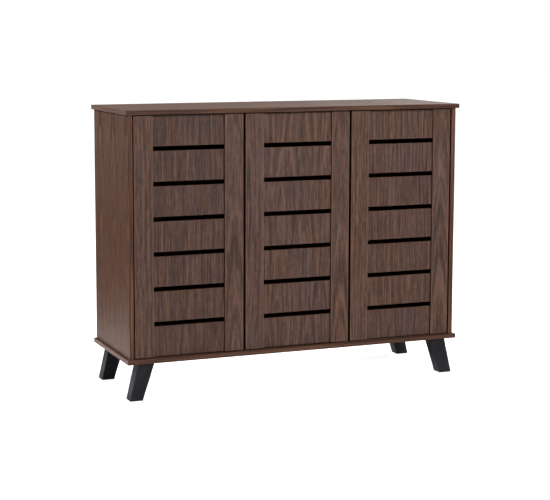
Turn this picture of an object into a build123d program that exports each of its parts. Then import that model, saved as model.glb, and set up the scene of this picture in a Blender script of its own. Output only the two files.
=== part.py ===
from build123d import *

import os
from dataclasses import dataclass
from math import hypot, sqrt

# Three-door shoe cabinet with slatted, handle-less doors on four splayed legs.
# Millimetres. X is the width, Y runs from the front (negative) to the back, Z is up.
# The origin is on the floor, under the middle of the top.

# Carcass boards
WIDTH = 1200.0
DEPTH = 400.0
SIDE_HEIGHT = 791.0
TOP_THICKNESS = 15.0
BASE_THICKNESS = 15.0
SIDE_THICKNESS = 15.0
PARTITION_THICKNESS = 15.0
SHELF_THICKNESS = 15.0
BACK_THICKNESS = 3.0
SIDE_OVERHANG = 9.0
FRONT_OVERHANG = 10.0
BACK_OVERHANG = 4.5
BACK_EDGE_CLEARANCE = 1.0
BOARD_CHAMFER = 0.6

# Legs and their pads
LEG_HEIGHT = 123.0
LEG_DEPTH = 45.0
LEG_TOP_WIDTH = 56.0
LEG_FOOT_WIDTH = 44.0
LEG_TOP_INSET = 38.0
LEG_FOOT_INSET = 10.0
LEG_FRONT_INSET = 12.0
LEG_BACK_INSET = 19.0
LEG_CHAMFER = 1.2
PAD_THICKNESS = 3.0
PAD_INSET = 0.4

# Doors
DOOR_COUNT = 3
SLAT_COUNT = 7
DOOR_SETBACK = 3.0
DOOR_SIDE_GAP = 4.5
DOOR_MEETING_GAP = 8.0
DOOR_TOP_GAP = 3.0
DOOR_BOTTOM_GAP = 3.0
STILE_WIDTH = 65.0
STILE_THICKNESS = 15.0
SLAT_THICKNESS = 9.0
SLAT_RECESS = 6.0
SLAT_LAP = 20.0
SLAT_END_CLEARANCE = 0.5
SLOT_HEIGHT = 15.0
SLAT_SCREW_INSET = 22.0

# Shelves and shelf pins
SHELVES_PER_BAY = 3
SHELF_SETBACK = 15.0
SHELF_SIDE_CLEARANCE = 1.0
SHELF_BACK_CLEARANCE = 2.0
SHELF_PIN_INSET = 40.0
SHELF_PIN_DIAMETER = 5.0
SHELF_PIN_DEPTH = 6.0
SHELF_REST_LENGTH = 8.0
SHELF_REST_WIDTH = 10.0
SHELF_REST_HEIGHT = 7.0

# Concealed hinges: a pin across the cup carries a cranked arm that reaches round the door's edge
PIVOT_FROM_EDGE = 11.0
PIVOT_FROM_FRONT = 8.0
SWING_CLEARANCE = 1.0
CUP_DIAMETER = 35.0
CUP_DEPTH = 11.5
CUP_WALL = 1.0
CUP_EDGE_DISTANCE = 5.0
CUP_RIM = 2.0
POCKET_CLEARANCE = 0.8
FLANGE_THICKNESS = 1.0
FLANGE_HEIGHT = 60.0
FLANGE_WIDTH = 14.0
FLANGE_OFFSET = 6.0
CUP_SCREW_SPACING = 48.0
HINGE_PIN_DIAMETER = 3.0
HINGE_PIN_CLEARANCE = 0.05
KNUCKLE_DIAMETER = 5.6
ARM_THICKNESS = 2.0
ARM_WIDTH = 12.0
ARM_BEND = 3.0
ARM_REACH = 62.0
PLATE_THICKNESS = 2.0
PLATE_START = 26.0
PLATE_LENGTH = 40.0
PLATE_HEIGHT = 20.0
WING_LENGTH = 14.0
WING_HEIGHT = 52.0
WING_SCREW_SPACING = 38.0

# Magnetic catches and strike plates
STRIKE_WIDTH = 24.0
STRIKE_HEIGHT = 34.0
STRIKE_THICKNESS = 1.5
STRIKE_TOP_INSET = 1.0
STRIKE_SCREW_RISE = 9.0
CATCH_GAP = 0.2
CATCH_WIDTH = 28.0
CATCH_DEPTH = 15.0
CATCH_HEIGHT = 13.0
CATCH_EAR_LENGTH = 10.0
CATCH_EAR_THICKNESS = 2.5
CATCH_SIDE_CLEARANCE = 1.0
MAGNET_WIDTH = 22.0
MAGNET_DEPTH = 9.0
MAGNET_HEIGHT = 6.0
MAGNET_PROUD = 1.0
MAGNET_FIT = 0.1

# Fasteners
SCREW_DIAMETER = 3.5
SCREW_LENGTH = 12.0
SCREW_HEAD_DIAMETER = 7.0
SCREW_HEAD_HEIGHT = 2.0
HOLE_CLEARANCE = 0.05
HOLE_END_CLEARANCE = 0.5
CAM_DIAMETER = 15.0
CAM_DEPTH = 12.0
CAM_FROM_END = 24.0
CAM_INSET = 70.0
CAM_POCKET_DIAMETER = 7.0
BOLT_DIAMETER = 6.0
BOLT_IN_PANEL = 10.0
BOLT_TIP_GAP = 1.0
DOWEL_DIAMETER = 8.0
DOWEL_IN_PANEL = 10.0
DOWEL_IN_UPRIGHT = 20.0
DOWEL_INSET = 35.0
NAIL_DIAMETER = 1.4
NAIL_LENGTH = 20.0
NAIL_HEAD_DIAMETER = 4.5
NAIL_HEAD_HEIGHT = 0.8
NAILS_PER_UPRIGHT = 6
NAIL_END_INSET = 45.0
LEG_SCREW_DIAMETER = 5.0
LEG_SCREW_LENGTH = 45.0
LEG_SCREW_HEAD_DIAMETER = 9.0
LEG_SCREW_SPACING = 22.0
LEG_SCREW_SHIFT = 4.0

# Heights and depths of the carcass
front_y = -DEPTH / 2
back_y = DEPTH / 2
base_top = LEG_HEIGHT + BASE_THICKNESS
top_bottom = base_top + SIDE_HEIGHT
side_outer_x = WIDTH / 2 - SIDE_OVERHANG
side_inner_x = side_outer_x - SIDE_THICKNESS
side_front_y = front_y + FRONT_OVERHANG
side_back_y = back_y - BACK_OVERHANG

# Door sizes and places
door_front_y = side_front_y + DOOR_SETBACK
door_back_y = door_front_y + STILE_THICKNESS
slat_front_y = door_front_y + SLAT_RECESS
slat_back_y = slat_front_y + SLAT_THICKNESS
door_gaps = 2 * DOOR_SIDE_GAP + (DOOR_COUNT - 1) * DOOR_MEETING_GAP
door_width = (2 * side_inner_x - door_gaps) / DOOR_COUNT
door_bottom = base_top + DOOR_BOTTOM_GAP
door_top = top_bottom - DOOR_TOP_GAP
slat_height = (door_top - door_bottom - (SLAT_COUNT - 1) * SLOT_HEIGHT) / SLAT_COUNT
slat_pitch = slat_height + SLOT_HEIGHT

# Hinge axis and the circle that a door's hinge edge sweeps around it
pivot_y = door_front_y + PIVOT_FROM_FRONT
swing_radius = hypot(PIVOT_FROM_EDGE, max(PIVOT_FROM_FRONT, STILE_THICKNESS - PIVOT_FROM_FRONT))
partition_front_y = pivot_y + swing_radius + SWING_CLEARANCE
arm_neck = swing_radius + SWING_CLEARANCE + ARM_THICKNESS / 2
arm_seat = PIVOT_FROM_EDGE + DOOR_MEETING_GAP / 2 - PARTITION_THICKNESS / 2 - PLATE_THICKNESS
plate_middle_y = pivot_y + PLATE_START + PLATE_LENGTH / 2

# Middle of a catch from the free edge of its door, clear of the partition behind that edge
partition_overlap = (PARTITION_THICKNESS - DOOR_MEETING_GAP) / 2
catch_from_edge = partition_overlap + CATCH_SIDE_CLEARANCE + CATCH_EAR_LENGTH + CATCH_WIDTH / 2

# Shelf heights and hinge heights, in the middle of the lowest and the highest tier
tier_height = (SIDE_HEIGHT - SHELVES_PER_BAY * SHELF_THICKNESS) / (SHELVES_PER_BAY + 1)
shelf_front_y = partition_front_y + SHELF_SETBACK
shelf_back_y = side_back_y - SHELF_BACK_CLEARANCE
hinge_heights = [base_top + tier_height / 2, top_bottom - tier_height / 2]

# Radii of drilled holes
screw_hole = SCREW_DIAMETER / 2 + HOLE_CLEARANCE
bolt_hole = BOLT_DIAMETER / 2 + HOLE_CLEARANCE
dowel_hole = DOWEL_DIAMETER / 2 + HOLE_CLEARANCE
nail_hole = NAIL_DIAMETER / 2 + HOLE_CLEARANCE
leg_screw_hole = LEG_SCREW_DIAMETER / 2 + HOLE_CLEARANCE
leg_screw_head_height = (LEG_SCREW_HEAD_DIAMETER - LEG_SCREW_DIAMETER) / 2


@dataclass
class Upright:
    """A side panel or a partition; cam_side is the X direction that its cams face."""
    name: str
    x: float
    thickness: float
    front_y: float
    cam_side: int

    def face_x(self, side):
        return self.x + side * self.thickness / 2

    def cam_rows(self):
        return [self.front_y + CAM_INSET, side_back_y - CAM_INSET]

    def dowel_rows(self):
        return [self.front_y + DOWEL_INSET, side_back_y - DOWEL_INSET]


@dataclass
class Door:
    """An inset door; hand is +1 when it hangs on its left edge and -1 on its right edge."""
    name: str
    left_x: float
    hand: int
    carrier: Upright

    @property
    def right_x(self):
        return self.left_x + door_width

    @property
    def hinge_x(self):
        return self.left_x if self.hand > 0 else self.right_x

    @property
    def free_x(self):
        return self.right_x if self.hand > 0 else self.left_x

    @property
    def pivot_x(self):
        return self.hinge_x + self.hand * PIVOT_FROM_EDGE

    @property
    def cup_x(self):
        return self.hinge_x + self.hand * (CUP_EDGE_DISTANCE + CUP_DIAMETER / 2)

    @property
    def flange_x(self):
        return self.cup_x + self.hand * FLANGE_OFFSET

    @property
    def mount_x(self):
        return self.carrier.face_x(self.hand)

    @property
    def seat_x(self):
        return self.pivot_x - self.hand * arm_seat

    @property
    def catch_x(self):
        return self.free_x - self.hand * catch_from_edge


def door_left_x(index):
    return -side_inner_x + DOOR_SIDE_GAP + index * (door_width + DOOR_MEETING_GAP)


def meeting_x(index):
    """Middle of the gap to the right of a door."""
    return door_left_x(index + 1) - DOOR_MEETING_GAP / 2


side_x = side_inner_x + SIDE_THICKNESS / 2
left_side = Upright("left_side_panel", -side_x, SIDE_THICKNESS, side_front_y, 1)
left_partition = Upright("left_partition", meeting_x(0), PARTITION_THICKNESS, partition_front_y, -1)
right_partition = Upright("right_partition", meeting_x(1), PARTITION_THICKNESS, partition_front_y, 1)
right_side = Upright("right_side_panel", side_x, SIDE_THICKNESS, side_front_y, -1)
uprights = [left_side, left_partition, right_partition, right_side]
bays = [
    ("left", left_side, left_partition),
    ("middle", left_partition, right_partition),
    ("right", right_partition, right_side),
]
doors = [
    Door("left_door", door_left_x(0), 1, left_side),
    Door("middle_door", door_left_x(1), 1, left_partition),
    Door("right_door", door_left_x(2), -1, right_side),
]


# Shapes that the sub-parts share, added to the part that is being built
def span(x_limits, y_limits, z_limits, mode=Mode.ADD):
    """A box between three pairs of limits, given in either order."""
    limits = [x_limits, y_limits, z_limits]
    middle = [(low + high) / 2 for low, high in limits]
    size = [abs(high - low) for low, high in limits]
    with Locations(tuple(middle)):
        Box(*size, mode=mode)


def rod(radius, start, end, mode=Mode.ADD):
    """A round bar, or with Mode.SUBTRACT a hole, between two points on a line along X, Y or Z."""
    along = Vector(*end) - Vector(*start)
    with Locations(Plane(origin=start, z_dir=along)):
        Cylinder(radius, along.length, align=(Align.CENTER, Align.CENTER, Align.MIN), mode=mode)


def hole(radius, start, end):
    rod(radius, start, end, mode=Mode.SUBTRACT)


def shifted(point, direction, distance):
    return tuple(value + step * distance for value, step in zip(point, direction))


def pan_screw(seat, inward):
    """A pan-head screw whose head sits on a surface at seat and whose shank points inward."""
    rod(SCREW_HEAD_DIAMETER / 2, shifted(seat, inward, -SCREW_HEAD_HEIGHT), seat)
    rod(SCREW_DIAMETER / 2, seat, shifted(seat, inward, SCREW_LENGTH))


def screw_pilot(seat, inward):
    """The hole that takes such a screw, through everything under its head."""
    hole(screw_hole, seat, shifted(seat, inward, SCREW_LENGTH + HOLE_END_CLEARANCE))


def shelf_bottom(tier):
    return base_top + (tier + 1) * tier_height + tier * SHELF_THICKNESS


def slat_bottom(index):
    return door_bottom + index * slat_pitch


def keep(piece, name):
    """Label a finished piece and write its file."""
    piece.part.label = name
    export_step(piece.part, f"parts/{name}.step")


# Where the fasteners sit
def hinge_screw_seats(door):
    """Screws through the arm and through the two wings of each hinge plate: seat points on the metal."""
    seats = []
    for height in hinge_heights:
        arm_face = door.seat_x + door.hand * ARM_THICKNESS
        seats.append((arm_face, plate_middle_y, height))
        wing_face = door.mount_x + door.hand * PLATE_THICKNESS
        for rise in (-WING_SCREW_SPACING / 2, WING_SCREW_SPACING / 2):
            seats.append((wing_face, plate_middle_y, height + rise))
    return seats


def cup_screw_seats(door):
    half = CUP_SCREW_SPACING / 2
    face_y = door_back_y + FLANGE_THICKNESS
    return [(door.flange_x, face_y, height + rise) for height in hinge_heights for rise in (-half, half)]


def strike_screw_seat(door):
    low_z = door_top - STRIKE_TOP_INSET - STRIKE_HEIGHT
    return (door.catch_x, door_back_y + STRIKE_THICKNESS, low_z + STRIKE_SCREW_RISE)


def slat_screw_seats(door, index):
    lap_middle = STILE_WIDTH - SLAT_LAP / 2
    low_z = slat_bottom(index)
    heights = [low_z + SLAT_SCREW_INSET, low_z + slat_height - SLAT_SCREW_INSET]
    columns = (door.left_x + lap_middle, door.right_x - lap_middle)
    return [(x, slat_back_y, z) for x in columns for z in heights]


def door_screw_seats(door):
    seats = cup_screw_seats(door) + [strike_screw_seat(door)]
    for index in range(SLAT_COUNT):
        seats += slat_screw_seats(door, index)
    return seats


def catch_screw_seats(door):
    reach = CATCH_WIDTH / 2 + CATCH_EAR_LENGTH / 2
    middle_y = catch_front_y + CATCH_DEPTH / 2
    return [(door.catch_x + side * reach, middle_y, top_bottom - CATCH_EAR_THICKNESS) for side in (-1, 1)]


def nail_points():
    """Nail seats on the rear face of the back panel, in a column behind each upright."""
    low_z = base_top + NAIL_END_INSET
    step = (SIDE_HEIGHT - 2 * NAIL_END_INSET) / (NAILS_PER_UPRIGHT - 1)
    face_y = side_back_y + BACK_THICKNESS
    heights = [low_z + row * step for row in range(NAILS_PER_UPRIGHT)]
    return [(upright.x, face_y, z) for upright in uprights for z in heights]


def leg_screw_points():
    points = []
    for side in (-1, 1):
        top_middle = WIDTH / 2 - LEG_TOP_INSET - LEG_TOP_WIDTH / 2 + LEG_SCREW_SHIFT
        for leg_front_y in (front_leg_y, back_leg_y):
            for offset in (-LEG_SCREW_SPACING / 2, LEG_SCREW_SPACING / 2):
                points.append((side * (top_middle + offset), leg_front_y + LEG_DEPTH / 2, base_top))
    return points


DOWN = (0, 0, -1)
UP = (0, 0, 1)
FORWARD = (0, -1, 0)
front_leg_y = front_y + LEG_FRONT_INSET
back_leg_y = back_y - LEG_BACK_INSET - LEG_DEPTH
strike_face_y = door_back_y + STRIKE_THICKNESS
magnet_front_y = strike_face_y + CATCH_GAP
catch_front_y = magnet_front_y + MAGNET_PROUD
magnet_middle_z = top_bottom - CATCH_HEIGHT / 2
os.makedirs("parts", exist_ok=True)


# Top and base, drilled for the bolts and dowels of every upright
def drill_panel(face_z, into):
    for upright in uprights:
        for y in upright.cam_rows():
            seat = (upright.x, y, face_z)
            hole(bolt_hole, seat, shifted(seat, into, BOLT_IN_PANEL + HOLE_END_CLEARANCE))
        for y in upright.dowel_rows():
            seat = (upright.x, y, face_z)
            hole(dowel_hole, seat, shifted(seat, into, DOWEL_IN_PANEL + HOLE_END_CLEARANCE))


with BuildPart() as top_panel:
    span((-WIDTH / 2, WIDTH / 2), (front_y, back_y), (top_bottom, top_bottom + TOP_THICKNESS))
    chamfer(top_panel.edges(), BOARD_CHAMFER)
    drill_panel(top_bottom, UP)
    for door in doors:
        for seat in catch_screw_seats(door):
            screw_pilot(seat, UP)
keep(top_panel, "top_panel")

with BuildPart() as base_panel:
    span((-WIDTH / 2, WIDTH / 2), (front_y, back_y), (LEG_HEIGHT, base_top))
    chamfer(base_panel.edges(), BOARD_CHAMFER)
    drill_panel(base_top, DOWN)
    with Locations(*leg_screw_points()):
        CounterSinkHole(leg_screw_hole, LEG_SCREW_HEAD_DIAMETER / 2 + HOLE_CLEARANCE, BASE_THICKNESS)
keep(base_panel, "base_panel")


# Side panels and partitions
def drill_upright_ends(upright):
    cam_face = upright.face_x(upright.cam_side)
    cam_end = cam_face - upright.cam_side * CAM_DEPTH
    for end_z, inward in ((base_top, UP), (top_bottom, DOWN)):
        for y in upright.cam_rows():
            end = (upright.x, y, end_z)
            cam_z = shifted(end, inward, CAM_FROM_END)[2]
            hole(CAM_POCKET_DIAMETER / 2, end, (upright.x, y, cam_z))
            hole(CAM_DIAMETER / 2 + HOLE_CLEARANCE, (cam_face, y, cam_z), (cam_end, y, cam_z))
        for y in upright.dowel_rows():
            end = (upright.x, y, end_z)
            hole(dowel_hole, end, shifted(end, inward, DOWEL_IN_UPRIGHT + HOLE_END_CLEARANCE))


def shelf_pin_rows():
    return [shelf_front_y + SHELF_PIN_INSET, shelf_back_y - SHELF_PIN_INSET]


def shelf_pin_z(tier):
    return shelf_bottom(tier) - SHELF_REST_HEIGHT / 2


def drill_shelf_pins(upright, side):
    face = upright.face_x(side)
    depth = SHELF_PIN_DEPTH + HOLE_END_CLEARANCE
    for tier in range(SHELVES_PER_BAY):
        for y in shelf_pin_rows():
            seat = (face, y, shelf_pin_z(tier))
            hole(SHELF_PIN_DIAMETER / 2 + HOLE_CLEARANCE, seat, shifted(seat, (-side, 0, 0), depth))


for upright in uprights:
    with BuildPart() as upright_board:
        x_limits = (upright.face_x(-1), upright.face_x(1))
        span(x_limits, (upright.front_y, side_back_y), (base_top, top_bottom))
        chamfer(upright_board.edges().filter_by(Axis.Z), BOARD_CHAMFER)
        drill_upright_ends(upright)
        for _, left_wall, right_wall in bays:
            if upright is left_wall:
                drill_shelf_pins(upright, 1)
            if upright is right_wall:
                drill_shelf_pins(upright, -1)
        for door in doors:
            if door.carrier is upright:
                for seat in hinge_screw_seats(door):
                    screw_pilot(seat, (-door.hand, 0, 0))
        for point in nail_points():
            if point[0] == upright.x:
                hole(nail_hole, point, shifted(point, FORWARD, NAIL_LENGTH + HOLE_END_CLEARANCE))
    keep(upright_board, upright.name)


# Back panel and its nails
with BuildPart() as back_panel:
    half_width = side_outer_x - BACK_EDGE_CLEARANCE
    z_limits = (base_top + BACK_EDGE_CLEARANCE, top_bottom - BACK_EDGE_CLEARANCE)
    span((-half_width, half_width), (side_back_y, side_back_y + BACK_THICKNESS), z_limits)
    for point in nail_points():
        hole(nail_hole, point, shifted(point, FORWARD, NAIL_LENGTH))
keep(back_panel, "back_panel")

with BuildPart() as back_panel_nails:
    for point in nail_points():
        rod(NAIL_DIAMETER / 2, point, shifted(point, FORWARD, NAIL_LENGTH))
        rod(NAIL_HEAD_DIAMETER / 2, shifted(point, FORWARD, -NAIL_HEAD_HEIGHT), point)
keep(back_panel_nails, "back_panel_nails")


# Shelves, resting on their pins
for bay_name, left_wall, right_wall in bays:
    for tier in range(SHELVES_PER_BAY):
        with BuildPart() as shelf:
            low_x = left_wall.face_x(1) + SHELF_SIDE_CLEARANCE
            high_x = right_wall.face_x(-1) - SHELF_SIDE_CLEARANCE
            low_z = shelf_bottom(tier)
            span((low_x, high_x), (shelf_front_y, shelf_back_y), (low_z, low_z + SHELF_THICKNESS))
            chamfer(shelf.edges().filter_by(Axis.X), BOARD_CHAMFER)
        keep(shelf, f"{bay_name}_shelf_{tier + 1}")

with BuildPart() as shelf_pins:
    for _, left_wall, right_wall in bays:
        for wall, side in ((left_wall, 1), (right_wall, -1)):
            face = wall.face_x(side)
            for tier in range(SHELVES_PER_BAY):
                rest_z = (shelf_bottom(tier) - SHELF_REST_HEIGHT, shelf_bottom(tier))
                for y in shelf_pin_rows():
                    rest_y = (y - SHELF_REST_WIDTH / 2, y + SHELF_REST_WIDTH / 2)
                    span((face, face + side * SHELF_REST_LENGTH), rest_y, rest_z)
                    seat = (face, y, shelf_pin_z(tier))
                    rod(SHELF_PIN_DIAMETER / 2, seat, shifted(seat, (-side, 0, 0), SHELF_PIN_DEPTH))
keep(shelf_pins, "shelf_pins")


# Cams, bolts and dowels that join the uprights to the top and the base
with BuildPart() as cam_discs:
    for upright in uprights:
        cam_face = upright.face_x(upright.cam_side)
        cam_end = cam_face - upright.cam_side * CAM_DEPTH
        for end_z, inward in ((base_top, UP), (top_bottom, DOWN)):
            for y in upright.cam_rows():
                end = (upright.x, y, end_z)
                cam_z = shifted(end, inward, CAM_FROM_END)[2]
                rod(CAM_DIAMETER / 2, (cam_face, y, cam_z), (cam_end, y, cam_z))
                hole(CAM_POCKET_DIAMETER / 2, end, (upright.x, y, cam_z))
keep(cam_discs, "cam_discs")

with BuildPart() as cam_bolts:
    for upright in uprights:
        for end_z, inward in ((base_top, UP), (top_bottom, DOWN)):
            for y in upright.cam_rows():
                end = (upright.x, y, end_z)
                tip = shifted(end, inward, CAM_FROM_END - BOLT_TIP_GAP)
                rod(BOLT_DIAMETER / 2, shifted(end, inward, -BOLT_IN_PANEL), tip)
keep(cam_bolts, "cam_bolts")

with BuildPart() as wood_dowels:
    for upright in uprights:
        for end_z, inward in ((base_top, UP), (top_bottom, DOWN)):
            for y in upright.dowel_rows():
                end = (upright.x, y, end_z)
                start = shifted(end, inward, -DOWEL_IN_PANEL)
                rod(DOWEL_DIAMETER / 2, start, shifted(end, inward, DOWEL_IN_UPRIGHT))
keep(wood_dowels, "wood_dowels")


# Legs: a tapered outline seen from the front, as deep as the leg
def leg_outline(side):
    """Outline in X and Z, from the outer top corner round to the inner top corner."""
    outer_top = side * (WIDTH / 2 - LEG_TOP_INSET)
    outer_foot = side * (WIDTH / 2 - LEG_FOOT_INSET)
    return [
        (outer_top, LEG_HEIGHT),
        (outer_foot, PAD_THICKNESS),
        (outer_foot - side * LEG_FOOT_WIDTH, PAD_THICKNESS),
        (outer_top - side * LEG_TOP_WIDTH, LEG_HEIGHT),
    ]


leg_places = [
    ("front_left_leg", -1, front_leg_y),
    ("front_right_leg", 1, front_leg_y),
    ("back_left_leg", -1, back_leg_y),
    ("back_right_leg", 1, back_leg_y),
]

for leg_name, side, leg_front_y in leg_places:
    with BuildPart() as leg:
        with BuildSketch(Plane.XZ.offset(-leg_front_y)):
            with BuildLine():
                Polyline(*leg_outline(side), close=True)
            make_face()
        extrude(amount=-LEG_DEPTH)
        ends = (PAD_THICKNESS, LEG_HEIGHT)
        along_leg = leg.edges().filter_by(lambda edge: ends[0] < edge.center().Z < ends[1])
        chamfer(along_leg, LEG_CHAMFER)
        for x, y, z in leg_screw_points():
            if x * side > 0 and leg_front_y < y < leg_front_y + LEG_DEPTH:
                hole(leg_screw_hole, (x, y, z), (x, y, z - LEG_SCREW_LENGTH - HOLE_END_CLEARANCE))
    keep(leg, leg_name)

with BuildPart() as foot_pads:
    for _, side, leg_front_y in leg_places:
        outer_x = WIDTH / 2 - LEG_FOOT_INSET - PAD_INSET
        inner_x = WIDTH / 2 - LEG_FOOT_INSET - LEG_FOOT_WIDTH + PAD_INSET
        y_limits = (leg_front_y + PAD_INSET, leg_front_y + LEG_DEPTH - PAD_INSET)
        span((side * inner_x, side * outer_x), y_limits, (0, PAD_THICKNESS))
keep(foot_pads, "foot_pads")

with BuildPart() as leg_screws:
    for x, y, z in leg_screw_points():
        rod(LEG_SCREW_DIAMETER / 2, (x, y, z), (x, y, z - LEG_SCREW_LENGTH))
        with Locations((x, y, z - leg_screw_head_height / 2)):
            Cone(LEG_SCREW_DIAMETER / 2, LEG_SCREW_HEAD_DIAMETER / 2, leg_screw_head_height)
keep(leg_screws, "leg_screws")


# Doors: two rebated stiles and the slats that lie in their rebates
def stile_limits(door, side):
    """X limits of the left (-1) or right (+1) stile, outer edge first."""
    outer_x = door.left_x if side < 0 else door.right_x
    return outer_x, outer_x - side * STILE_WIDTH


for door in doors:
    for side, side_name in ((-1, "left"), (1, "right")):
        with BuildPart() as stile:
            outer_x, inner_x = stile_limits(door, side)
            span((outer_x, inner_x), (door_front_y, door_back_y), (door_bottom, door_top))
            chamfer(stile.edges(), BOARD_CHAMFER)
            rebate_x = inner_x + side * SLAT_LAP
            span((rebate_x, inner_x), (slat_front_y, door_back_y), (door_bottom, door_top), Mode.SUBTRACT)
            if side == -door.hand:
                for height in hinge_heights:
                    mouth = (door.cup_x, door_back_y, height)
                    hole(CUP_DIAMETER / 2, mouth, shifted(mouth, FORWARD, CUP_DEPTH))
            for seat in door_screw_seats(door):
                if min(outer_x, inner_x) < seat[0] < max(outer_x, inner_x):
                    screw_pilot(seat, FORWARD)
        keep(stile, f"{door.name}_{side_name}_stile")

    with BuildPart() as slats:
        inset = STILE_WIDTH - SLAT_LAP + SLAT_END_CLEARANCE
        for index in range(SLAT_COUNT):
            z_limits = (slat_bottom(index), slat_bottom(index) + slat_height)
            span((door.left_x + inset, door.right_x - inset), (slat_front_y, slat_back_y), z_limits)
        chamfer(slats.edges().filter_by(Axis.X), BOARD_CHAMFER)
        for index in range(SLAT_COUNT):
            for seat in slat_screw_seats(door, index):
                screw_pilot(seat, FORWARD)
    keep(slats, f"{door.name}_slats")

    with BuildPart() as door_screws:
        for seat in door_screw_seats(door):
            pan_screw(seat, FORWARD)
    keep(door_screws, f"{door.name}_screws")


# Hinge cups in the doors, with the pin across each cup
cup_radius = CUP_DIAMETER / 2 - HOLE_CLEARANCE
pin_from_cup = CUP_EDGE_DISTANCE + CUP_DIAMETER / 2 - PIVOT_FROM_EDGE
pin_outer_side = pin_from_cup + HINGE_PIN_DIAMETER / 2
pin_half_length = sqrt((cup_radius - CUP_WALL) ** 2 - pin_outer_side**2)
pocket_half_height = ARM_WIDTH / 2 + POCKET_CLEARANCE
pocket_reach = sqrt((cup_radius - CUP_WALL) ** 2 - pocket_half_height**2)
flange_face_y = door_back_y + FLANGE_THICKNESS

for door in doors:
    with BuildPart() as hinge_cups:
        for height in hinge_heights:
            mouth = (door.cup_x, flange_face_y, height)
            rod(cup_radius, mouth, shifted(mouth, FORWARD, CUP_DEPTH + FLANGE_THICKNESS))
            rod(cup_radius + CUP_RIM, mouth, shifted(mouth, FORWARD, FLANGE_THICKNESS))
            wing_x = (door.flange_x - FLANGE_WIDTH / 2, door.flange_x + FLANGE_WIDTH / 2)
            wing_z = (height - FLANGE_HEIGHT / 2, height + FLANGE_HEIGHT / 2)
            span(wing_x, (door_back_y, flange_face_y), wing_z)
        for height in hinge_heights:
            pocket_start = door.pivot_x - door.hand * (KNUCKLE_DIAMETER / 2 + POCKET_CLEARANCE)
            pocket_end = door.cup_x + door.hand * pocket_reach
            pocket_y = (door_back_y - CUP_DEPTH + CUP_WALL, flange_face_y)
            pocket_z = (height - pocket_half_height, height + pocket_half_height)
            span((pocket_start, pocket_end), pocket_y, pocket_z, Mode.SUBTRACT)
            pin_end = (door.pivot_x, pivot_y, height - pin_half_length)
            pin_top = shifted(pin_end, UP, 2 * pin_half_length)
            hole(HINGE_PIN_DIAMETER / 2 + HOLE_CLEARANCE, pin_end, pin_top)
        for seat in cup_screw_seats(door):
            screw_pilot(seat, FORWARD)
    keep(hinge_cups, f"{door.name}_hinge_cups")

    with BuildPart() as hinge_pins:
        for height in hinge_heights:
            pin_end = (door.pivot_x, pivot_y, height - pin_half_length)
            rod(HINGE_PIN_DIAMETER / 2, pin_end, shifted(pin_end, UP, 2 * pin_half_length))
    keep(hinge_pins, f"{door.name}_hinge_pins")


# Hinge arms: a knuckle round the pin, then a cranked strip out of the cup and back to the mounting plate
for door in doors:
    with BuildPart() as hinge_arms:
        neck_x = door.pivot_x + door.hand * arm_neck
        tail_x = door.seat_x + door.hand * ARM_THICKNESS / 2
        bend_y = pivot_y + arm_neck
        corners = [
            (door.pivot_x, pivot_y),
            (neck_x, pivot_y),
            (neck_x, bend_y),
            (tail_x, bend_y),
            (tail_x, pivot_y + ARM_REACH),
        ]
        for height in hinge_heights:
            with BuildSketch(Plane.XY.offset(height - ARM_WIDTH / 2)):
                with BuildLine() as strip:
                    FilletPolyline(*corners, radius=ARM_BEND)
                trace(strip.line, line_width=ARM_THICKNESS)
                with Locations((door.pivot_x, pivot_y)):
                    Circle(KNUCKLE_DIAMETER / 2)
                    Circle(HINGE_PIN_DIAMETER / 2 + HINGE_PIN_CLEARANCE, mode=Mode.SUBTRACT)
            extrude(amount=ARM_WIDTH)
        for seat in hinge_screw_seats(door):
            screw_pilot(seat, (-door.hand, 0, 0))
    keep(hinge_arms, f"{door.name}_hinge_arms")


# Hinge plates on the uprights, thick enough to bring every arm to the same distance from its pin
with BuildPart() as hinge_plates:
    for door in doors:
        wing_face_x = door.mount_x + door.hand * PLATE_THICKNESS
        plate_y = (pivot_y + PLATE_START, pivot_y + PLATE_START + PLATE_LENGTH)
        wing_y = (plate_middle_y - WING_LENGTH / 2, plate_middle_y + WING_LENGTH / 2)
        for height in hinge_heights:
            plate_z = (height - PLATE_HEIGHT / 2, height + PLATE_HEIGHT / 2)
            span((door.mount_x, door.seat_x), plate_y, plate_z)
            wing_z = (height - WING_HEIGHT / 2, height + WING_HEIGHT / 2)
            span((door.mount_x, wing_face_x), wing_y, wing_z)
    for door in doors:
        for seat in hinge_screw_seats(door):
            screw_pilot(seat, (-door.hand, 0, 0))
keep(hinge_plates, "hinge_plates")

with BuildPart() as hinge_screws:
    for door in doors:
        for seat in hinge_screw_seats(door):
            pan_screw(seat, (-door.hand, 0, 0))
keep(hinge_screws, "hinge_screws")


# Magnetic catches under the top, and the strike plate of each door
magnet_x = MAGNET_WIDTH / 2
magnet_z = (magnet_middle_z - MAGNET_HEIGHT / 2, magnet_middle_z + MAGNET_HEIGHT / 2)
magnet_pocket_z = (magnet_z[0] - MAGNET_FIT, magnet_z[1] + MAGNET_FIT)

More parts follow.
